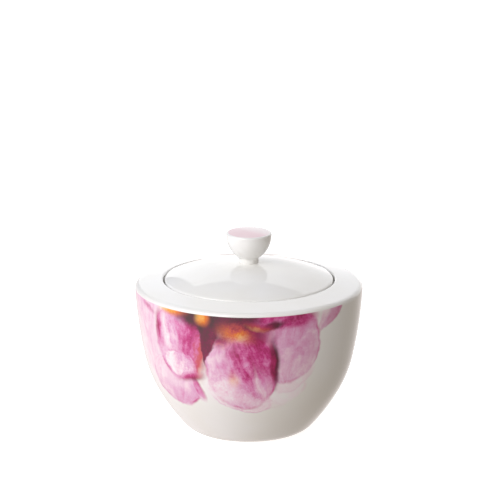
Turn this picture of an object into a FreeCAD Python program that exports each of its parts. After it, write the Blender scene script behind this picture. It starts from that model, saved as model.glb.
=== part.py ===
"""Porcelain sugar bowl with a loose domed lid and a knob luted onto the lid, in millimetres.

The origin is at the middle of the foot ring's resting face, +Z up, and every piece is turned
about Z. The driving dimensions are the cells of the sheet "Dimensions".
"""

import FreeCAD, Part
import math
import os
import re
from types import SimpleNamespace

import Sketcher

DIMENSIONS = {
    # The bowl's outside: four arcs from the foot to the rim, each running smoothly into the next
    "foot_radius": 25.0,
    "foot_curve_top": 3.5,
    "lower_wall_radius": 94.0,
    "belly_bottom": 20.0,
    "belly_radius": 57.0,
    "belly_top": 35.5,
    "upper_wall_radius": 194.0,
    "wall_upright_height": 77.5,
    "wall_top": 66.7,
    "rim_radius": 52.5,
    "rim_corner_radius": 2.5,
    # The shoulder that turns in from the rim, and the stepped opening that the lid sits in
    "opening_radius": 39.6,
    "opening_height": 71.4,
    "seat_depth": 3.2,
    "throat_radius": 36.4,
    "throat_bottom": 65.0,
    # The bowl's inside
    "wall_thickness": 3.7,
    "inner_belly_top": 36.3,
    "inner_belly_bottom": 21.8,
    "floor_height": 5.4,
    "floor_corner_radius": 9.0,
    "shoulder_corner_radius": 5.0,
    # The recess inside the foot ring
    "foot_recess_radius": 21.6,
    "foot_recess_depth": 1.6,
    # The lid, whose own origin is in the plane of its resting face
    "seat_gap": 0.1,
    "lid_radius": 38.9,
    "lid_edge_height": 3.0,
    "dome_radius": 100.0,
    "dome_thickness": 3.5,
    "flange_radius": 35.7,
    "flange_width": 3.2,
    "flange_depth": 5.0,
    # The knob, whose own origin is at the top of the lid's dome
    "socket_depth": 1.2,
    "neck_radius": 4.5,
    "cup_radius": 12.0,
    "cup_top": 10.4,
    "knob_wall_radius": 32.0,
    "knob_upright_height": 15.7,
    "knob_wall_top": 13.9,
    "knob_radius": 10.55,
    "knob_top": 14.3,
    # Rounded edges
    "opening_edge": 0.7,
    "foot_edge": 0.7,
    "lid_edge": 1.2,
    "flange_edge": 0.8,
    "neck_fillet": 1.0,
    "knob_edge": 0.8,
}

# The height of the dome's top above the lid's own origin
DOME_TOP = "lid_edge_height + dome_radius - sqrt(dome_radius ^ 2 - lid_radius ^ 2)"

# Which point of a sketched curve a rule holds, and the sketch's own origin and upright axis
START, END, CENTRE = 1, 2, 3
ORIGIN = (-1, 1)
AXIS = -2
# How far apart two sizes may be and still be the same edge's
TOUCH = 0.01
# How far a cutting outline stands past the face that it opens
OVERRUN = 5.0


def point(across, up):
    return FreeCAD.Vector(across, up, 0)


def leg(hypotenuse, other_leg):
    return math.sqrt(hypotenuse**2 - other_leg**2)


def outer_point(circle, height):
    """The point of a (centre, radius) circle at a height, on the side away from the axis."""
    centre, radius = circle
    return point(centre.x + leg(radius, height - centre.y), height)


def circle_through(touch, radius, upright_height):
    """The circle that passes through a point and is upright at a height."""
    return point(touch.x - leg(radius, upright_height - touch.y), upright_height), radius


def circle_after(circle, touch, radius):
    """The circle of this radius that touches another one at a point, from the same side."""
    centre, other_radius = circle
    return touch + (centre - touch) * (radius / other_radius), radius


class Outline:
    """A closed outline in a body's XZ plane, drawn as a chain of lines and arcs.

    Each piece runs from the pen, where the last one ended, to a point (distance from the turning
    axis, height). Pieces are known by their numbers in the sketch.
    """

    def __init__(self, body, name, start):
        self.sketch = new_sketch(body, name, "XZ_Plane")
        self.pen = start

    def line(self, end):
        return self.add(Part.LineSegment(self.pen, end), end)

    def arc(self, circle, end):
        """Part of a (centre, radius) circle, anticlockwise from the pen."""
        centre, radius = circle
        angles = [math.atan2(place.y - centre.y, place.x - centre.x) for place in (self.pen, end)]
        whole = Part.Circle(centre, FreeCAD.Vector(0, 0, 1), radius)
        return self.add(Part.ArcOfCircle(whole, *angles), end)

    def add(self, curve, end):
        self.pen = end
        return self.sketch.addGeometry(curve, False)

    def rule(self, kind, *where):
        self.sketch.addConstraint(Sketcher.Constraint(kind, *where))

    def close(self, smooth):
        """Joins the chain into a loop. The smooth pieces run into the next one with no corner."""
        count = self.sketch.GeometryCount
        for piece in range(count):
            kind = "Tangent" if piece in smooth else "Coincident"
            self.rule(kind, piece, END, (piece + 1) % count, START)

    def radius(self, piece, formula):
        bind_size(self.sketch, "Radius", (piece,), formula)

    def place(self, where, across=None, up=None):
        """Holds a (piece, end) point at a distance from the axis, at a height, or both."""
        if across:
            bind_size(self.sketch, "DistanceX", (*ORIGIN, *where), across)
        if up:
            bind_size(self.sketch, "DistanceY", (*ORIGIN, *where), up)


def cells(formula):
    """A formula of cell names as an expression: "a + b" becomes "Dimensions.a + Dimensions.b"."""
    return re.sub(r"\b(?!sqrt\b)([a-z_]+)\b", r"Dimensions.\1", formula)


def new_sketch(body, name, plane):
    """An empty sketch on one of the body's own planes."""
    sketch = body.newObject("Sketcher::SketchObject", name)
    own_plane = next(feature for feature in body.Origin.OriginFeatures if feature.Role == plane)
    sketch.AttachmentSupport = [(own_plane, "")]
    sketch.MapMode = "FlatFace"
    return sketch


def bind_size(sketch, kind, where, formula):
    """A dimension of a sketch that follows a cell of the sheet, or a formula of its cells."""
    expression = cells(formula)
    value = float(sketch.evalExpression(expression))
    index = sketch.addConstraint(Sketcher.Constraint(kind, *where, value))
    name = f"{kind}{index}"
    sketch.renameConstraint(index, name)
    sketch.setExpression(f"Constraints.{name}", expression)


def turned(body, kind, name, outline):
    """Turns an outline about Z to add material (Revolution) or take it away (Groove)."""
    body.Document.recompute()
    feature = body.newObject(f"PartDesign::{kind}", name)
    feature.Profile = outline.sketch
    feature.ReferenceAxis = (outline.sketch, ["V_Axis"])
    feature.Angle = 360
    body.Document.recompute()


def disc(body, kind, name, radius, length, level=None, reverse=False):
    """A round Pad or Pocket about Z, from the XY plane or from a level above it."""
    sketch = new_sketch(body, f"{name}_circle", "XY_Plane")
    if level:
        sketch.setExpression("AttachmentOffset.Base.z", cells(level))
    circle = sketch.addGeometry(Part.Circle(point(0, 0), FreeCAD.Vector(0, 0, 1), 1.0), False)
    sketch.addConstraint(Sketcher.Constraint("Coincident", circle, CENTRE, *ORIGIN))
    bind_size(sketch, "Radius", (circle,), radius)
    body.Document.recompute()
    feature = body.newObject(f"PartDesign::{kind}", name)
    feature.Profile = sketch
    feature.Reversed = reverse
    feature.setExpression("Length", cells(length))
    body.Document.recompute()


def rounded(body, name, radius, rings):
    """Rounds the body's ring edges, each given by its (radius, height)."""
    base = body.Tip
    feature = body.newObject("PartDesign::Fillet", name)
    feature.Base = (base, [ring_edge(base.Shape, *ring) for ring in rings])
    feature.setExpression("Radius", cells(radius))
    body.Document.recompute()


def ring_edge(shape, radius, height):
    """The name of the round edge about Z with this radius at this height."""
    for number, edge in enumerate(shape.Edges, start=1):
        ring = edge.Curve
        if (
            isinstance(ring, Part.Circle)
            and abs(ring.Radius - radius) < TOUCH
            and abs(ring.Center.z - height) < TOUCH
        ):
            return f"Edge{number}"
    raise ValueError(f"no round edge of radius {radius} at height {height}")


def add_bowl(doc, size):
    body = doc.addObject("PartDesign::Body", "bowl")
    wall_top = point(size.rim_radius, size.wall_top)
    upper = circle_through(wall_top, size.upper_wall_radius, size.wall_upright_height)
    turned(body, "Revolution", "outer_form", bowl_outside(body, size, upper, wall_top))
    turned(body, "Groove", "cavity", bowl_inside(body, size, upper[0]))
    disc(body, "Pocket", "foot_recess", "foot_recess_radius", "foot_recess_depth", reverse=True)
    rounded(body, "opening_edges", "opening_edge", [
        (size.opening_radius, size.opening_height),
        (size.throat_radius, size.opening_height - size.seat_depth),
        (size.throat_radius, size.throat_bottom),
    ])
    rounded(body, "foot_edges", "foot_edge", [
        (size.foot_recess_radius, 0),
        (size.foot_recess_radius, size.foot_recess_depth),
    ])
    return body


def bowl_outside(body, size, upper, wall_top):
    """The foot's curve, the three arcs of the wall, the rim's corner and the shoulder."""
    belly_top = outer_point(upper, size.belly_top)
    belly = circle_after(upper, belly_top, size.belly_radius)
    belly_bottom = outer_point(belly, size.belly_bottom)
    lower = circle_after(belly, belly_bottom, size.lower_wall_radius)
    foot_top = outer_point(lower, size.foot_curve_top)
    foot_edge = point(size.foot_radius, 0)
    foot = circle_after(lower, foot_top, radius_to_meet(foot_edge, foot_top, lower[0]))
    corner = circle_after(upper, wall_top, size.rim_corner_radius)
    corner_end = corner[0] + point(0, size.rim_corner_radius)
    opening = point(size.opening_radius, size.opening_height)
    crown = point(0, opening.y - size.opening_radius / math.tan(crown_slope(corner_end, opening)))

    outline = Outline(body, "outside", point(0, 0))
    resting_face = outline.line(foot_edge)
    foot_arc = outline.arc(foot, foot_top)
    lower_arc = outline.arc(lower, belly_bottom)
    belly_arc = outline.arc(belly, belly_top)
    upper_arc = outline.arc(upper, wall_top)
    corner_arc = outline.arc(corner, corner_end)
    crown_arc = outline.arc((crown, (opening - crown).Length), opening)
    top_face = outline.line(point(0, size.opening_height))
    axis = outline.line(point(0, 0))
    outline.close(smooth=(foot_arc, lower_arc, belly_arc, upper_arc, corner_arc))

    outline.rule("Coincident", resting_face, START, *ORIGIN)
    outline.rule("Horizontal", resting_face)
    outline.rule("Horizontal", top_face)
    outline.rule("Vertical", axis)
    outline.rule("PointOnObject", crown_arc, CENTRE, AXIS)
    outline.place((resting_face, END), across="foot_radius")
    outline.place((foot_arc, END), up="foot_curve_top")
    outline.radius(lower_arc, "lower_wall_radius")
    outline.place((lower_arc, END), up="belly_bottom")
    outline.radius(belly_arc, "belly_radius")
    outline.place((belly_arc, END), up="belly_top")
    outline.radius(upper_arc, "upper_wall_radius")
    outline.place((upper_arc, CENTRE), up="wall_upright_height")
    outline.place((upper_arc, END), across="rim_radius", up="wall_top")
    outline.radius(corner_arc, "rim_corner_radius")
    outline.place((crown_arc, END), across="opening_radius", up="opening_height")
    return outline


def radius_to_meet(end, touch, centre):
    """The radius of the circle that passes through an end point and touches, at another point,
    the circle with this centre."""
    chord = end - touch
    inward = (centre - touch).normalize()
    return chord.Length**2 / (2 * chord.dot(inward))


def crown_slope(low, high):
    """About how steeply a shallow crown about Z falls away at its higher point."""
    middle_slope = math.atan2(high.y - low.y, low.x - high.x)
    return middle_slope * 2 * high.x / (low.x + high.x)


def bowl_inside(body, size, upper_centre):
    """The stepped opening, the underside of the shoulder, the wall's three arcs and the floor."""
    upper = (upper_centre, size.upper_wall_radius - size.wall_thickness)
    belly_top = outer_point(upper, size.inner_belly_top)
    belly = circle_after(upper, belly_top, size.belly_radius - size.wall_thickness)
    belly_bottom = outer_point(belly, size.inner_belly_bottom)
    lower = circle_after(belly, belly_bottom, size.lower_wall_radius - size.wall_thickness)
    floor_corner = corner_within(lower, size.floor_corner_radius, size.floor_height, 1)
    shoulder_corner = corner_within(upper, size.shoulder_corner_radius, size.throat_bottom, -1)
    floor_end = point(floor_corner[0].x, size.floor_height)
    shoulder_end = point(shoulder_corner[0].x, size.throat_bottom)
    seat_height = size.opening_height - size.seat_depth
    clear_height = size.opening_height + OVERRUN

    outline = Outline(body, "inside", point(0, size.floor_height))
    floor = outline.line(floor_end)
    floor_arc = outline.arc(floor_corner, touching_point(lower, floor_corner))
    lower_arc = outline.arc(lower, belly_bottom)
    belly_arc = outline.arc(belly, belly_top)
    upper_arc = outline.arc(upper, touching_point(upper, shoulder_corner))
    shoulder_arc = outline.arc(shoulder_corner, shoulder_end)
    underside = outline.line(point(size.throat_radius, size.throat_bottom))
    throat = outline.line(point(size.throat_radius, seat_height))
    seat = outline.line(point(size.opening_radius, seat_height))
    seat_wall = outline.line(point(size.opening_radius, clear_height))
    open_top = outline.line(point(0, clear_height))
    axis = outline.line(point(0, size.floor_height))
    outline.close(smooth=(floor, floor_arc, lower_arc, belly_arc, upper_arc, shoulder_arc))

    for level_line in (floor, underside, seat, open_top):
        outline.rule("Horizontal", level_line)
    for upright_line in (throat, seat_wall, axis):
        outline.rule("Vertical", upright_line)
    outline.rule("PointOnObject", floor, START, AXIS)
    outline.place((floor, START), up="floor_height")
    outline.radius(floor_arc, "floor_corner_radius")
    outline.radius(lower_arc, "lower_wall_radius - wall_thickness")
    outline.place((lower_arc, END), up="inner_belly_bottom")
    outline.radius(belly_arc, "belly_radius - wall_thickness")
    outline.place((belly_arc, END), up="inner_belly_top")
    outline.radius(upper_arc, "upper_wall_radius - wall_thickness")
    outline.place(
        (upper_arc, CENTRE),
        across="rim_radius - sqrt(upper_wall_radius ^ 2 - (wall_upright_height - wall_top) ^ 2)",
        up="wall_upright_height",
    )
    outline.radius(shoulder_arc, "shoulder_corner_radius")
    outline.place((underside, END), across="throat_radius", up="throat_bottom")
    outline.place((seat, END), across="opening_radius", up="opening_height - seat_depth")
    outline.place((seat_wall, END), up=f"opening_height + {OVERRUN}")
    return outline


def corner_within(circle, radius, level, side):
    """The circle of this radius that touches a wall's circle from inside and a level line, from
    above it (side 1) or from below it (side -1)."""
    centre, wall_radius = circle
    height = level + side * radius
    return point(centre.x + leg(wall_radius - radius, height - centre.y), height), radius


def touching_point(wall, corner):
    """Where a wall's circle meets a smaller circle that touches it from inside."""
    away = (corner[0] - wall[0]).normalize()
    return wall[0] + away * wall[1]


def add_lid(doc, size):
    body = doc.addObject("PartDesign::Body", "lid")
    body.setExpression("Placement.Base.z", cells("opening_height - seat_depth + seat_gap"))
    centre = point(0, size.lid_edge_height - leg(size.dome_radius, size.lid_radius))
    turned(body, "Revolution", "dome", lid_outside(body, size, centre))
    disc(body, "Pad", "flange", "flange_radius", "flange_depth", reverse=True)
    turned(body, "Groove", "hollow", lid_hollow(body, size, centre))
    disc(body, "Pocket", "knob_socket", "neck_radius", "socket_depth", level=DOME_TOP)
    rounded(body, "lid_edges", "lid_edge", [(size.lid_radius, size.lid_edge_height)])
    rounded(body, "flange_edges", "flange_edge", [
        (size.lid_radius, 0),
        (size.flange_radius, -size.flange_depth),
        (size.flange_radius - size.flange_width, -size.flange_depth),
    ])
    return body


def lid_outside(body, size, centre):
    """The lid's resting face, its upright edge and its shallow dome."""
    edge_top = point(size.lid_radius, size.lid_edge_height)
    outline = Outline(body, "outside", point(0, 0))
    resting_face = outline.line(point(size.lid_radius, 0))
    edge = outline.line(edge_top)
    dome = outline.arc((centre, size.dome_radius), centre + point(0, size.dome_radius))
    axis = outline.line(point(0, 0))
    outline.close(smooth=())
    outline.rule("Coincident", resting_face, START, *ORIGIN)
    outline.rule("Horizontal", resting_face)
    outline.rule("Vertical", edge)
    outline.rule("Vertical", axis)
    outline.rule("PointOnObject", dome, CENTRE, AXIS)
    outline.radius(dome, "dome_radius")
    outline.place((edge, END), across="lid_radius", up="lid_edge_height")
    return outline


def lid_hollow(body, size, centre):
    """The space inside the flange, up to the underside of the dome."""
    bore = size.flange_radius - size.flange_width
    inner_radius = size.dome_radius - size.dome_thickness
    below = -size.flange_depth - OVERRUN
    outline = Outline(body, "inside", point(0, below))
    mouth = outline.line(point(bore, below))
    bore_line = outline.line(point(bore, centre.y + leg(inner_radius, bore)))
    dome = outline.arc((centre, inner_radius), centre + point(0, inner_radius))
    axis = outline.line(point(0, below))
    outline.close(smooth=())
    outline.rule("Horizontal", mouth)
    outline.rule("Vertical", bore_line)
    outline.rule("Vertical", axis)
    outline.rule("PointOnObject", mouth, START, AXIS)
    outline.place((mouth, END), across="flange_radius - flange_width")
    outline.place((mouth, START), up=f"0 - flange_depth - {OVERRUN}")
    outline.radius(dome, "dome_radius - dome_thickness")
    outline.rule("PointOnObject", dome, CENTRE, AXIS)
    outline.place((dome, CENTRE), up=f"{DOME_TOP} - dome_radius")
    return outline


def add_knob(doc, size):
    body = doc.addObject("PartDesign::Body", "knob")
    body.setExpression(
        "Placement.Base.z", cells(f"opening_height - seat_depth + seat_gap + {DOME_TOP}")
    )
    wall_top = point(size.knob_radius, size.knob_wall_top)
    wall = circle_through(wall_top, size.knob_wall_radius, size.knob_upright_height)
    cup = circle_after(wall, outer_point(wall, size.cup_top), size.cup_radius)
    neck_top = point(size.neck_radius, cup[0].y - leg(cup[1], size.neck_radius - cup[0].x))
    turned(body, "Revolution", "cup", knob_outside(body, size, wall, cup, neck_top))
    rounded(body, "neck_root", "neck_fillet", [(neck_top.x, neck_top.y)])
    rounded(body, "rim", "knob_edge", [(wall_top.x, wall_top.y)])
    return body


def knob_outside(body, size, wall, cup, neck_top):
    """The spigot and neck, the cup that flares from it and the slightly domed top."""
    bottom = point(size.neck_radius, -size.socket_depth)
    wall_top = point(size.knob_radius, size.knob_wall_top)
    top = point(0, size.knob_top)
    rise = size.knob_top - size.knob_wall_top
    crown_radius = (size.knob_radius**2 + rise**2) / (2 * rise)
    outline = Outline(body, "outside", point(0, bottom.y))
    seat = outline.line(bottom)
    neck = outline.line(neck_top)
    cup_arc = outline.arc(cup, outer_point(wall, size.cup_top))
    wall_arc = outline.arc(wall, wall_top)
    crown_arc = outline.arc((top - point(0, crown_radius), crown_radius), top)
    axis = outline.line(point(0, bottom.y))
    outline.close(smooth=(cup_arc,))
    outline.rule("Horizontal", seat)
    outline.rule("Vertical", neck)
    outline.rule("Vertical", axis)
    outline.rule("PointOnObject", seat, START, AXIS)
    outline.rule("PointOnObject", crown_arc, CENTRE, AXIS)
    outline.place((seat, START), up="0 - socket_depth")
    outline.place((seat, END), across="neck_radius")
    outline.radius(cup_arc, "cup_radius")
    outline.place((cup_arc, END), up="cup_top")
    outline.radius(wall_arc, "knob_wall_radius")
    outline.place((wall_arc, CENTRE), up="knob_upright_height")
    outline.place((wall_arc, END), across="knob_radius", up="knob_wall_top")
    outline.place((crown_arc, END), up="knob_top")
    return outline


def check(doc, pieces):
    """Stops if any feature failed, or if a piece isn't one sound solid."""
    for feature in doc.Objects:
        if {"Invalid", "Error"} & set(feature.State):
            raise RuntimeError(f"{feature.Label} did not build: {feature.State}")
        if feature.isDerivedFrom("Sketcher::SketchObject") and not feature.FullyConstrained:
            raise RuntimeError(f"{feature.Label} is not fully constrained")
    for piece in pieces:
        shape = piece.Shape
        if shape.isNull() or not shape.isValid() or len(shape.Solids) != 1:
            raise RuntimeError(f"{piece.Label} is not one sound solid")


def main():
    doc = FreeCAD.newDocument("sugar_bowl")
    sheet = doc.addObject("Spreadsheet::Sheet", "Dimensions")
    for row, (alias, value) in enumerate(DIMENSIONS.items(), start=1):
        sheet.set(f"A{row}", alias)
        sheet.set(f"B{row}", str(value))
        sheet.setAlias(f"B{row}", alias)
    doc.recompute()

    size = SimpleNamespace(**DIMENSIONS)
    pieces = [add_bowl(doc, size), add_lid(doc, size), add_knob(doc, size)]
    doc.recompute()
    check(doc, pieces)

    os.makedirs("parts", exist_ok=True)
    for piece in pieces:
        piece.Shape.exportStep(f"parts/{piece.Label}.step")
        print(f"{piece.Label}: {piece.Shape.Volume / 1000:.1f} cm3")


main()
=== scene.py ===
"""The looks of a porcelain sugar bowl: glaze, a watercolour flower fired onto the wall, and a studio."""

import bpy
import math
from dataclasses import dataclass
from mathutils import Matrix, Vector


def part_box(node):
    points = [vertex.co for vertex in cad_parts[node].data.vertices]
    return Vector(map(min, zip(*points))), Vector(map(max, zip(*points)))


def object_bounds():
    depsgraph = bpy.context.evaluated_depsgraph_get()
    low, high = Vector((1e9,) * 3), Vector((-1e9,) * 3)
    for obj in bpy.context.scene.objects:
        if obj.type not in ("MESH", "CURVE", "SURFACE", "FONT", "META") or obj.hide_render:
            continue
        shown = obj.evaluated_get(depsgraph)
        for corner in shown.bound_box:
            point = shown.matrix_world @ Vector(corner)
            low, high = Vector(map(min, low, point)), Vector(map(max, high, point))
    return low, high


MM = 0.001

# The flower is laid out on the wall unrolled: millimetres round it at this radius, to the right of
# the middle of the front, and millimetres above the table.
UNROLL_RADIUS = 50.0
PRINT_TOP = 67.5

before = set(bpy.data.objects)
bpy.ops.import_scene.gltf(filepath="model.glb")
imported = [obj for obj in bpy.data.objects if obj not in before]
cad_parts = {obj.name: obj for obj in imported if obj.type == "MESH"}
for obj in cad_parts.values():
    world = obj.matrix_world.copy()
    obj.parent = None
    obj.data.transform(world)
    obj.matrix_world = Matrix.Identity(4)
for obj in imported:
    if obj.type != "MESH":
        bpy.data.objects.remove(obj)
cad_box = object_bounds()


# ---------------------------------------------------------------- shader arithmetic


class Field:
    """A number that varies over a surface, held as the output socket of a shader node."""

    def __init__(self, tree, socket):
        self.tree = tree
        self.socket = socket

    def math(self, operation, *others):
        node = self.tree.nodes.new("ShaderNodeMath")
        node.operation = operation
        for socket, value in zip(node.inputs, (self, *others)):
            connect(self.tree, value, socket)
        return Field(self.tree, node.outputs[0])

    def __add__(self, other):
        return self.math("ADD", other)

    def __sub__(self, other):
        return self.math("SUBTRACT", other)

    def __mul__(self, other):
        return self.math("MULTIPLY", other)

    def __truediv__(self, other):
        return self.math("DIVIDE", other)

    def power(self, exponent):
        return self.math("POWER", exponent)

    def at_least(self, other):
        return self.math("MAXIMUM", other)

    def near(self, value, reach):
        """1 where this is within 0.6 of the reach of a value, and 0 beyond the whole reach."""
        return (self - value).math("ABSOLUTE").step(reach, reach * 0.6)

    def step(self, low, high):
        """Runs smoothly from 0, where this is at low, to 1, where it is at high."""
        node = self.tree.nodes.new("ShaderNodeMapRange")
        node.interpolation_type = "SMOOTHSTEP"
        connect(self.tree, self, node.inputs["Value"])
        connect(self.tree, low, node.inputs["From Min"])
        connect(self.tree, high, node.inputs["From Max"])
        return Field(self.tree, node.outputs[0])


def connect(tree, value, socket):
    """Gives a socket a field, another node's socket or a plain value."""
    if isinstance(value, Field):
        value = value.socket
    if isinstance(value, bpy.types.NodeSocket):
        tree.links.new(value, socket)
    else:
        socket.default_value = value


def vector(tree, x, y, z=0.0):
    node = tree.nodes.new("ShaderNodeCombineXYZ")
    for value, socket in zip((x, y, z), node.inputs):
        connect(tree, value, socket)
    return node.outputs[0]


def components(tree, source):
    """The x, y and z of a vector socket."""
    node = tree.nodes.new("ShaderNodeSeparateXYZ")
    tree.links.new(source, node.inputs[0])
    return [Field(tree, socket) for socket in node.outputs]


def noise(tree, place, scale, detail=2.0, roughness=0.5):
    """Cloudy noise between about 0.2 and 0.8, with scale features in each unit of place."""
    node = tree.nodes.new("ShaderNodeTexNoise")
    connect(tree, place, node.inputs["Vector"])
    node.inputs["Scale"].default_value = scale
    node.inputs["Detail"].default_value = detail
    node.inputs["Roughness"].default_value = roughness
    return Field(tree, node.outputs["Fac"])


def ramp(tree, amount, stops):
    """A colour for each amount from 0 to 1, from (amount, colour) stops."""
    node = tree.nodes.new("ShaderNodeValToRGB")
    connect(tree, amount, node.inputs[0])
    elements = node.color_ramp.elements
    while len(elements) < len(stops):
        elements.new(1.0)
    for element, (position, colour) in zip(elements, stops):
        element.position = position
        element.color = colour
    return node.outputs[0]


def mixed(tree, amount, below, above):
    """The colour above laid over the colour below, by an amount from 0 to 1."""
    node = tree.nodes.new("ShaderNodeMix")
    node.data_type = "RGBA"
    for value, name in ((amount, "Factor_Float"), (below, "A_Color"), (above, "B_Color")):
        connect(tree, value, next(s for s in node.inputs if s.identifier == name))
    return next(s for s in node.outputs if s.identifier == "Result_Color")


def rgb(red, green, blue):
    """A colour as a screen shows it, 0 to 255, as the linear colour that shaders take."""
    linear = [((c / 255 + 0.055) / 1.055) ** 2.4 if c > 10 else c / 255 / 12.92 for c in (red, green, blue)]
    return (*linear, 1.0)


# ---------------------------------------------------------------- the flower's paint

# Screen colours of the glaze and of the watercolour, 0 to 255
PORCELAIN = rgb(247, 247, 247)
MILK = rgb(250, 239, 245)
BLUSH = rgb(246, 214, 230)
LILAC = rgb(231, 176, 212)
PINK = rgb(221, 126, 180)
MAGENTA = rgb(199, 62, 134)
CRIMSON = rgb(164, 34, 90)
PLUM = rgb(118, 34, 70)
UMBER = rgb(80, 50, 56)
CORAL = rgb(208, 86, 80)
ORANGE = rgb(234, 128, 36)
GOLD = rgb(250, 202, 110)


@dataclass
class Wash:
    """One patch of watercolour: an egg-shaped outline filled from a pale tone to a deep one.

    Places are (millimetres right of the middle of the front, millimetres up). Half sizes are
    (across, along). Lean turns the outline anticlockwise in degrees, and taper widens its top
    (above 0) or its bottom (below 0). The tone is depth in the middle, and deepen is how much it
    grows over one half size across and along. Streaks run lengthwise and meet at the two ends as a
    petal's veins do, blots are the uneven spread of the paint, and the rim is the line where wet
    paint settled. Blooms, where water drove the pigment off, lighten every wash alike.
    """

    centre: tuple
    half: tuple
    tones: tuple
    depth: float = 0.45
    deepen: tuple = (0.0, 0.3)
    lean: float = 0.0
    taper: float = 0.0
    streaks: float = 0.4
    blots: float = 0.5
    rim: float = 0.0
    soft: float = 0.2
    strength: float = 1.0


PALE = (MILK, BLUSH, LILAC, PINK, MAGENTA)
ROSE = (BLUSH, LILAC, PINK, MAGENTA, CRIMSON)
DEEP = (PINK, MAGENTA, CRIMSON, PLUM, UMBER)

OUTER_LEFT = (
    Wash((-97, 62), (19, 15), (PORCELAIN, MILK, BLUSH), 0.5, (0.3, 0.3), lean=14, rim=0.2, soft=0.5),
    Wash((-78, 56), (15, 22), (PORCELAIN, MILK, BLUSH, LILAC), 0.6, (0.1, 0.35), lean=10, rim=0.3,
         soft=0.35, streaks=0.5),
    Wash((-59, 64), (13, 18), (MILK, BLUSH, LILAC, PINK), 0.52, (-0.05, 0.35), lean=-6, rim=0.3,
         soft=0.4, streaks=0.6, blots=0.8),
    Wash((-55, 66), (6, 1.3), ROSE, 0.6, (0.2, 0.2), lean=-18, soft=0.8, blots=1.2, strength=0.7),
    Wash((-58, 44), (10, 17), (PORCELAIN, MILK, BLUSH, LILAC), 0.62, (0.3, 0.1), lean=12, soft=0.6,
         streaks=0.6),
)
LOWER_LEFT = (
    Wash((-40, 31.5), (15.5, 11.5), PALE, 0.44, (0.1, -0.05), lean=-12, rim=0.5, soft=0.06, streaks=0.4),
    Wash((-42, 34), (8, 4.5), (MILK, BLUSH), 0.4, soft=0.7, strength=0.5),
    Wash((-26, 30.5), (2.2, 5.5), ROSE, 0.6, (0.3, 0.1), lean=24, soft=0.5, streaks=0.8),
)
RIGHT = (
    Wash((39.5, 66), (5.5, 9.5), PALE, 0.55, (0.3, 0.1), lean=-34, taper=0.45, rim=0.4, soft=0.12,
         strength=0.85),
    Wash((19, 30), (9, 6), (PORCELAIN, MILK, BLUSH), 0.3, (0, -0.2), lean=24, rim=0.6, soft=0.25),
    Wash((22, 37), (10, 6), (MILK, BLUSH, LILAC), 0.3, (0, 0.1), lean=30, rim=0.6, soft=0.2, strength=0.8),
    Wash((18, 52), (16, 18.5), PALE, 0.56, (0.0, 0.1), taper=0.12, rim=0.4, soft=0.05, streaks=0.45),
    Wash((28, 53), (4, 14), PALE, 0.42, (-0.2, 0.2), lean=-4, soft=0.8, strength=0.5),
    Wash((17, 44), (7, 9), (MILK, BLUSH, LILAC, PINK), 0.45, lean=12, soft=0.9, strength=0.5, blots=0.9),
    Wash((12, 65), (17, 4.4), ROSE, 0.72, (0.0, 0.1), soft=0.4, blots=0.9),
    Wash((24, 65), (6.5, 3.2), DEEP, 0.4, (0, 0.3), lean=14, soft=0.6, blots=1.0, strength=0.85),
    Wash((10, 62.6), (5.5, 1.8), DEEP, 0.8, (0.3, 0), lean=10, soft=0.5),
)
UPPER_LEFT = (
    Wash((-34, 52), (14.5, 17.5), PALE, 0.68, (0.2, 0.1), lean=-6, taper=0.1, rim=0.5, soft=0.06,
         streaks=0.5),
    Wash((-38, 57), (7.5, 9.5), PALE, 0.42, (0.3, 0.0), lean=10, soft=0.6, streaks=0.9, blots=1.0),
    Wash((-27, 56), (5.5, 12), ROSE, 0.74, (0.1, 0.2), lean=-16, soft=0.5, streaks=0.8, blots=0.8),
    Wash((-45.5, 56), (2.2, 9), ROSE, 0.6, (-0.2, 0.1), lean=-4, soft=0.6, streaks=0.8, blots=1.0),
    Wash((-34, 41.5), (10, 6.2), PALE, 0.34, (0.3, 0.2), lean=-14, taper=0.1, rim=0.8, soft=0.12,
         streaks=0.6, blots=1.2),
    Wash((-29, 36.4), (7, 1.6), DEEP, 0.34, (0.2, -0.3), lean=12, soft=0.8, blots=0.8),
    Wash((-22.5, 48), (3.4, 9.5), (PINK, CORAL, CORAL, CRIMSON), 0.42, (0.35, -0.2), lean=-7, soft=0.8,
         streaks=0.8, blots=1.0, strength=0.85),
)
MIDDLE = (
    Wash((-4, 27.5), (16, 6.5), (MILK, MILK, BLUSH, LILAC), 0.4, (0.05, -0.1), lean=-14, rim=0.8,
         soft=0.08, blots=1.2, streaks=0.8),
    Wash((-3.5, 41.5), (16.5, 19.5), PALE, 0.68, (0.2, 0.12), lean=16, taper=-0.1, rim=0.5, soft=0.05,
         streaks=0.7, blots=0.6),
    Wash((-12, 48), (6, 9.5), PALE, 0.5, (0.1, -0.1), lean=6, soft=0.6, streaks=0.8, strength=0.85),
    Wash((-1, 43), (6.5, 13), ROSE, 0.7, (0.1, 0.1), lean=24, soft=0.7, streaks=1.1, blots=1.0),
    Wash((-13.5, 33), (7, 7), (MILK, BLUSH, LILAC, PINK), 0.3, (0.25, 0.2), lean=16, soft=0.8, blots=1.5,
         streaks=0.8),
    Wash((5, 50), (5.5, 11), ROSE, 0.84, (0.15, 0.1), lean=26, soft=0.6, streaks=0.9, blots=0.8),
    Wash((6, 34), (3, 7.5), PALE, 0.4, (0, 0.1), lean=16, soft=0.9, streaks=1.1, strength=0.8),
    Wash((11.5, 44.5), (2.4, 10.5), DEEP, 0.7, (0.25, 0.05), lean=6, soft=0.5, blots=0.6, streaks=0.6),
    Wash((-2, 27), (12, 3), (MILK, BLUSH, PINK), 0.4, (0.1, 0.1), lean=-14, soft=1.0, blots=1.6,
         strength=0.7, streaks=0.9),
    Wash((-7, 36.5), (2, 4), (BLUSH, GOLD, CORAL), 0.4, lean=16, soft=0.9, strength=0.45),
)
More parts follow.
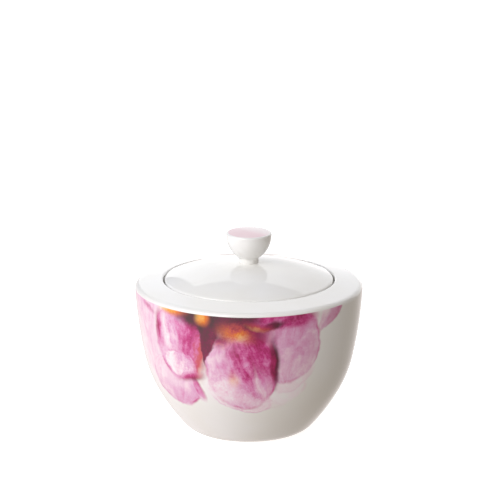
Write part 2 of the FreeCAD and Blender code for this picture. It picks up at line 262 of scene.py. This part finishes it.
HEART = (
    Wash((-15, 68), (19, 8), (CRIMSON, PLUM, UMBER, UMBER), 0.7, soft=0.25, blots=1.0),
    Wash((-19, 57), (3.8, 13.5), (CRIMSON, PLUM, UMBER), 0.7, taper=0.75, lean=-4, soft=0.16, blots=1.0,
         streaks=0.6),
    Wash((-13.5, 58), (5, 4.5), (CORAL, CRIMSON, PLUM, UMBER), 0.5, (-0.3, 0.2), lean=-30, soft=0.6,
         blots=1.2, strength=0.9),
    Wash((-3, 62), (12, 5), (CRIMSON, PLUM, UMBER), 0.5, (-0.4, 0.2), lean=-16, soft=0.6, blots=1.0),
    Wash((-21, 66.4), (3.2, 3.2), (GOLD, ORANGE, CORAL), 0.42, (0.2, -0.2), lean=20, soft=0.6),
    Wash((-36.5, 67.6), (6, 1.8), (GOLD, ORANGE, CORAL), 0.35, (0.4, -0.2), soft=0.8, blots=0.8),
    Wash((-6, 59.6), (6, 3.4), (GOLD, ORANGE, CORAL, PLUM), 0.48, lean=-14, soft=0.9, blots=1.2,
         strength=0.9),
    Wash((4, 62.6), (5, 1.4), (GOLD, CORAL, MAGENTA), 0.55, lean=-12, soft=0.9, blots=0.9, strength=0.6),
)
FLOWER = (*OUTER_LEFT, *LOWER_LEFT, *RIGHT, *UPPER_LEFT, *MIDDLE, *HEART)

# How far the clouds of water push an outline about, broadly and finely, in millimetres
DRIFT = 5.5
RAGGED = 0.9

# How many features each cloud has in a millimetre
DRIFT_SCALE = 0.08
RAGGED_SCALE = 0.45
BLOT_SCALE = 0.2
GRAIN_SCALE = 1.0
SETTLED_SCALE = 0.11
BLOOM_SCALE = 0.14

# The sizes of a streak, in millimetres
STREAK_WIDTH = 2.4
STREAK_LENGTH = 15.0

# The parts of their clouds in which rims have settled and blooms have opened, and the part of the
# way out to a wash's outline in which its rim lies: each from none to full
SETTLED_PART = (0.4, 0.62)
BLOOM_PART = (0.48, 0.7)
RIM_PART = (0.9, 1.0)

# How strongly each feature changes a wash's tone
BLOT_CONTRAST = 0.96
GRAIN_CONTRAST = 0.44
STREAK_CONTRAST = 1.4
BLOOM_CONTRAST = 0.18

# Places along the third axis of the noise, which keep its uses from repeating one another
TURNED_SLICE = 7.0
SLICE_SPACING = 3.7

# What Paper gives to each wash
WASH_INPUTS = ("Across", "Up", "Blots", "Settled", "Bloom")


class Paper:
    """The wall unrolled, with the clouds of water and pigment that every wash shares."""

    def __init__(self, tree, place):
        self.tree = tree
        self.across = place.x.math("ARCTAN2", place.y * -1.0) * UNROLL_RADIUS
        self.up = place.up
        flat = vector(tree, self.across, self.up)
        turned = vector(tree, self.up, self.across, TURNED_SLICE)
        self.loose_across = self.across + self.wander(flat)
        self.loose_up = self.up + self.wander(turned)
        grain = (noise(tree, flat, GRAIN_SCALE, detail=3, roughness=0.7) - 0.5) * GRAIN_CONTRAST
        blots = (noise(tree, flat, BLOT_SCALE, detail=5, roughness=0.7) - 0.5) * BLOT_CONTRAST
        self.blots = blots + grain
        self.settled = noise(tree, turned, SETTLED_SCALE).step(*SETTLED_PART)
        self.bloom = noise(tree, turned, BLOOM_SCALE).step(*BLOOM_PART)

    def wander(self, place):
        """How far an outline is pushed aside, in millimetres."""
        broad = (noise(self.tree, place, DRIFT_SCALE) - 0.5) * DRIFT
        fine = (noise(self.tree, place, RAGGED_SCALE, detail=3) - 0.5) * RAGGED
        return broad + fine

    def laid_over(self, below, wash, seed):
        """The colour below with a wash painted over it."""
        node = self.tree.nodes.new("ShaderNodeGroup")
        node.node_tree = wash_group(wash, seed)
        connect(self.tree, below, node.inputs["Below"])
        given = (self.loose_across, self.loose_up, self.blots, self.settled, self.bloom)
        for name, value in zip(WASH_INPUTS, given):
            connect(self.tree, value, node.inputs[name])
        return node.outputs["Colour"]


def wash_group(wash, seed):
    """A wash as a node group of its own, because many small node trees are made much faster than
    one large one. The seed is the slice of noise that its streaks are cut from."""
    tree = bpy.data.node_groups.new("wash", "ShaderNodeTree")
    tree.interface.new_socket("Below", in_out="INPUT", socket_type="NodeSocketColor")
    for name in WASH_INPUTS:
        tree.interface.new_socket(name, in_out="INPUT", socket_type="NodeSocketFloat")
    tree.interface.new_socket("Colour", in_out="OUTPUT", socket_type="NodeSocketColor")
    given = tree.nodes.new("NodeGroupInput").outputs
    loose_across, loose_up, blots, settled, bloom = (Field(tree, given[name]) for name in WASH_INPUTS)
    lean = math.radians(wash.lean)
    right = loose_across - wash.centre[0]
    up = loose_up - wash.centre[1]
    along = (up * math.cos(lean) - right * math.sin(lean)) / wash.half[1]
    across = (right * math.cos(lean) + up * math.sin(lean)) / wash.half[0]
    across = across / (along * wash.taper + 1.0)
    reach = (across * across + along * along).power(0.5)
    cover = reach.step(1 + wash.soft, 1 - wash.soft) * wash.strength
    # Veins are spaced by the outline's half width at their height, so they draw together at its ends
    half_width = (along * along * -1.0 + 1.1).at_least(0.1).power(0.5)
    vein = across / half_width * (wash.half[0] / STREAK_WIDTH)
    lengthwise = along * (wash.half[1] / STREAK_LENGTH)
    streaks = noise(tree, vector(tree, vein, lengthwise, seed), 1.0, detail=3, roughness=0.6)
    tone = across * wash.deepen[0] + along * wash.deepen[1] + wash.depth
    tone = tone + (streaks - 0.5) * (wash.streaks * STREAK_CONTRAST) + blots * wash.blots
    tone = tone - bloom * BLOOM_CONTRAST
    if wash.rim:
        tone = tone + reach.step(*RIM_PART) * settled * wash.rim
    last = len(wash.tones) - 1
    stops = [(index / last, colour) for index, colour in enumerate(wash.tones)]
    painted = mixed(tree, cover, given["Below"], ramp(tree, tone, stops))
    tree.links.new(painted, tree.nodes.new("NodeGroupOutput").inputs["Colour"])
    return tree


# ---------------------------------------------------------------- materials

BISQUE = rgb(232, 226, 214)
IVORY = rgb(244, 243, 240)
BLUSH_TINT = rgb(230, 196, 205)

# The finish: features in each metre, how rough it is, and how high its bumps are
WAVE_SCALE = 45.0
CLAY_GRAIN_SCALE = 1400.0
CAST_SCALE = 30.0
TINT_SCALE = 160.0
GLAZE_ROUGHNESS = 0.01
ROUGHNESS_SPREAD = 0.02
BISQUE_ROUGHNESS = 0.5
WAVE_HEIGHT = 0.6
GLAZED_GRAIN_HEIGHT = 0.02
BARE_GRAIN_HEIGHT = 0.6
BUMP_DEPTH = 0.05 * MM
GLAZE_IOR = 1.52

# Each pair is where something begins to show and where it shows in full, in millimetres: from the
# axis for the two bare bands and the tint, round the wall for the print, and towards the back right
# for the painted highlight that pales the tint.
INSIDE_OPENING = (40.2, 39.9)
OUTSIDE_FLANGE = (35.4, 35.8)
TINTED_DISC = (10.0, 9.3)
PRINT_WIDTH = (118, 96)
TINT_PAINTED_HIGHLIGHT = (12.0, -3.0)

# How much of the tint is left where the painted highlight pales it most
TINT_LEFT_IN_PAINTED_HIGHLIGHT = 0.35

# The part of its cloud in which the glaze turns from white to ivory
CAST_PART = (0.35, 0.65)

# How far above and below the seat's level its bare bands reach, how far above an end they stop, and
# how far either side of an edge the glaze or the print runs out, in millimetres
SEAT_REACH = 0.4
REST_REACH = 0.5
END_REACH = (0.5, 0.2)
LUTED_EDGE = 0.2
PRINT_EDGE = 0.15
TINT_EDGE = 0.3


def level(node, corner, offset=0.0):
    """A height in millimetres, measured from a node's lowest (0) or highest (1) corner."""
    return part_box(node)[corner].z / MM + offset


# Heights in millimetres. The seat's is midway between the seat and the face that rests on it.
FLANGE_END = level("lid", 0)
SEAT_LEVEL = level("lid", 0, 4.95)
DOME_TOP = level("lid", 1)
TINT_LEVEL = level("knob", 1, -0.8)


class Place:
    """Where a point is on the object: x and y in metres, height and distance from the axis in
    millimetres, and whether its face looks away from the axis (1) or towards it (0)."""

    def __init__(self, tree):
        coordinates = tree.nodes.new("ShaderNodeTexCoord")
        self.point = coordinates.outputs["Object"]
        self.x, self.y, z = components(tree, self.point)
        self.up = z / MM
        self.out = (self.x * self.x + self.y * self.y).power(0.5) / MM
        normal_x, normal_y, _ = components(tree, coordinates.outputs["Normal"])
        facing_out = normal_x * self.x + normal_y * self.y
        self.outside = facing_out.step(0.0, 2 * MM)


def new_material(name):
    material = bpy.data.materials.new(name)
    material.use_nodes = True
    shader = material.node_tree.nodes["Principled BSDF"]
    return material, material.node_tree, shader


def porcelain(name, bare_bands, decorate=None):
    """Glazed white porcelain. The glaze is clear and glossy, with the faint waves of a fired one
    and a cast that drifts between white and ivory. It is left off the bands that touch the kiln
    shelf or another piece. A decoration takes the tree, the place and the white, and gives the
    coloured glaze."""
    material, tree, shader = new_material(name)
    place = Place(tree)
    waves = noise(tree, place.point, WAVE_SCALE)
    grain = noise(tree, place.point, CLAY_GRAIN_SCALE, roughness=0.6)
    bare = bare_bands(place)
    cast = noise(tree, place.point, CAST_SCALE, detail=3).step(*CAST_PART)
    white = mixed(tree, cast, PORCELAIN, IVORY)
    colour = decorate(tree, place, white) if decorate else white
    tree.links.new(mixed(tree, bare, colour, BISQUE), shader.inputs["Base Color"])
    glossy = waves * ROUGHNESS_SPREAD + grain * ROUGHNESS_SPREAD + GLAZE_ROUGHNESS
    connect(tree, glossy + bare * BISQUE_ROUGHNESS, shader.inputs["Roughness"])
    bump = tree.nodes.new("ShaderNodeBump")
    bump.inputs["Distance"].default_value = BUMP_DEPTH
    grain_height = bare * BARE_GRAIN_HEIGHT + GLAZED_GRAIN_HEIGHT
    connect(tree, waves * WAVE_HEIGHT + grain * grain_height, bump.inputs["Height"])
    tree.links.new(bump.outputs["Normal"], shader.inputs["Normal"])
    shader.inputs["IOR"].default_value = GLAZE_IOR
    return material


def end_face(place, height):
    """The face at the lower end of a foot or a flange."""
    return place.up.step(*(height + reach for reach in END_REACH))


def bowl_bands(place):
    """The foot ring's face, and the seat that the lid rests on."""
    seat = place.up.near(SEAT_LEVEL, SEAT_REACH) * place.out.step(*INSIDE_OPENING)
    return end_face(place, 0.0).at_least(seat)


def lid_bands(place):
    """The face that rests on the seat, and the end of the flange."""
    rest = place.up.near(SEAT_LEVEL, REST_REACH) * place.out.step(*OUTSIDE_FLANGE)
    return rest.at_least(end_face(place, FLANGE_END))


def knob_bands(place):
    """Only the spigot, which is luted into the lid, has no glaze."""
    return place.up.step(DOME_TOP + LUTED_EDGE, DOME_TOP - LUTED_EDGE)


def flower(tree, place, white):
    """The flower printed on the wall. It stops in a clean line under the rim and leaves the back
    white."""
    paper = Paper(tree, place)
    colour = white
    for number, wash in enumerate(FLOWER):
        colour = paper.laid_over(colour, wash, SLICE_SPACING * number)
    printed = paper.up.step(PRINT_TOP + PRINT_EDGE, PRINT_TOP - PRINT_EDGE)
    gone, full = PRINT_WIDTH
    front = (paper.across * paper.across).step(gone**2, full**2)
    return mixed(tree, printed * front * place.outside, white, colour)


def tinted_top(tree, place, white):
    """A wash of pale pink on the knob's top, a little uneven, and with a painted highlight that pales it
    towards the back right.
    """
    uneven = noise(tree, place.point, TINT_SCALE, detail=3, roughness=0.6) * 0.6 + 0.7
    towards_back_right = (place.x + place.y) / MM
    # Painted highlight: the real pink tint is made paler towards the back right, as if light fell on it
    # there
    tint_left_by_highlight = towards_back_right.step(*TINT_PAINTED_HIGHLIGHT) * (1 - TINT_LEFT_IN_PAINTED_HIGHLIGHT) + TINT_LEFT_IN_PAINTED_HIGHLIGHT
    disc = place.out.step(*TINTED_DISC) * place.up.step(TINT_LEVEL - TINT_EDGE, TINT_LEVEL)
    return mixed(tree, disc * tint_left_by_highlight * uneven.math("MINIMUM", 1.0), white, BLUSH_TINT)


def dress(node, material):
    """Gives a CAD node its material."""
    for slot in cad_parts[node].material_slots:
        slot.material = material


dress("bowl", porcelain("floral_porcelain", bowl_bands, flower))
dress("lid", porcelain("white_porcelain", lid_bands))
dress("knob", porcelain("blush_porcelain", knob_bands, tinted_top))


# ---------------------------------------------------------------- studio

CAMERA_ELEVATION = math.radians(16.5)
CAMERA_DISTANCE = 1.85
CAMERA_AIM = Vector((0.0005, 0, 0.0847))
VIEW_WIDTH = 0.2316

# The middle of what the softboxes face
LIT_CENTRE = Vector((0, 0, 0.05))

# The studio's walls: their light above and below the horizon, how far the two blend (as the height
# of a direction), and the dim side, with the cosines from its middle where it begins and is full
STUDIO_ABOVE = (0.40, 0.40, 0.42, 1)
STUDIO_BELOW = (1.055, 0.97, 0.94, 1)
HORIZON_BLEND = 0.25
STUDIO_DIM = (0.325, 0.287, 0.243, 1)
DIM_AZIMUTH = 70
DIM_ELEVATION = -20
DIM_REACH = (-0.1, 0.7)

FLOOR_REACH = 6.0
FLOOR_GAP = 0.2 * MM
FLOOR_GLOW = 0.7


def add_camera():
    """A long lens looking slightly down, aimed above the bowl's middle so that the bowl sits low."""
    low, high = cad_box
    middle = Vector((0, 0, (low.z + high.z) / 2))
    away = Vector((0, -math.cos(CAMERA_ELEVATION), math.sin(CAMERA_ELEVATION)))
    camera = bpy.data.objects.new("camera", bpy.data.cameras.new("camera"))
    camera.data.lens = camera.data.sensor_width * CAMERA_DISTANCE / VIEW_WIDTH
    camera.location = middle + away * CAMERA_DISTANCE
    camera.rotation_euler = (CAMERA_AIM - camera.location).to_track_quat("-Z", "Y").to_euler()
    bpy.context.scene.collection.objects.link(camera)
    bpy.context.scene.camera = camera


def direction(azimuth, elevation):
    """A unit vector from the bowl. Azimuth 0 points at the camera and 90 to the right."""
    turn, tilt = math.radians(azimuth), math.radians(elevation)
    return Vector((math.sin(turn) * math.cos(tilt), -math.cos(turn) * math.cos(tilt), math.sin(tilt)))


def add_softbox(name, azimuth, elevation, distance, size, watts):
    """A rectangular softbox that faces the bowl from that direction."""
    away = direction(azimuth, elevation)
    light = bpy.data.lights.new(name, "AREA")
    light.shape = "RECTANGLE"
    light.size, light.size_y = size
    light.energy = watts
    lamp = bpy.data.objects.new(name, light)
    lamp.location = LIT_CENTRE + away * distance
    lamp.rotation_euler = (-away).to_track_quat("-Z", "Y").to_euler()
    lamp.visible_camera = False
    bpy.context.scene.collection.objects.link(lamp)


def add_world():
    """A white studio that is warmer below the horizon, with one dim side to the right in front."""
    world = bpy.data.worlds.new("studio")
    world.use_nodes = True
    tree = world.node_tree
    x, y, z = components(tree, tree.nodes.new("ShaderNodeTexCoord").outputs["Generated"])
    dim = direction(DIM_AZIMUTH, DIM_ELEVATION)
    towards_dim = x * dim.x + y * dim.y + z * dim.z
    lit = mixed(tree, z.step(HORIZON_BLEND, -HORIZON_BLEND), STUDIO_ABOVE, STUDIO_BELOW)
    colour = mixed(tree, towards_dim.step(*DIM_REACH), lit, STUDIO_DIM)
    tree.links.new(colour, tree.nodes["Background"].inputs["Color"])
    bpy.context.scene.world = world


def add_floor():
    """A plain pale floor. The bowl takes its light from the studio, not from the floor."""
    mesh = bpy.data.meshes.new("floor")
    corners = [(x * FLOOR_REACH, y * FLOOR_REACH, 0) for x, y in ((-1, -1), (1, -1), (1, 1), (-1, 1))]
    mesh.from_pydata(corners, [], [(0, 1, 2, 3)])
    floor = bpy.data.objects.new("floor", mesh)
    floor.location.z = -FLOOR_GAP
    floor.visible_diffuse = False
    floor.visible_glossy = False
    bpy.context.scene.collection.objects.link(floor)
    material, tree, shader = new_material("floor")
    shader.inputs["Base Color"].default_value = (0.8, 0.8, 0.8, 1)
    shader.inputs["Roughness"].default_value = 0.9
    shader.inputs["Emission Color"].default_value = (1, 1, 1, 1)
    shader.inputs["Emission Strength"].default_value = FLOOR_GLOW
    mesh.materials.append(material)


add_camera()
add_world()
add_floor()
add_softbox("key", azimuth=-50, elevation=35, distance=1.4, size=(1.2, 0.9), watts=12.2)
add_softbox("front_fill", azimuth=-15, elevation=15, distance=1.6, size=(1.0, 0.8), watts=3.1)
add_softbox("back_panel", azimuth=162, elevation=20, distance=1.6, size=(1.9, 1.5), watts=9.0)
bpy.context.scene.view_settings.view_transform = "Standard"
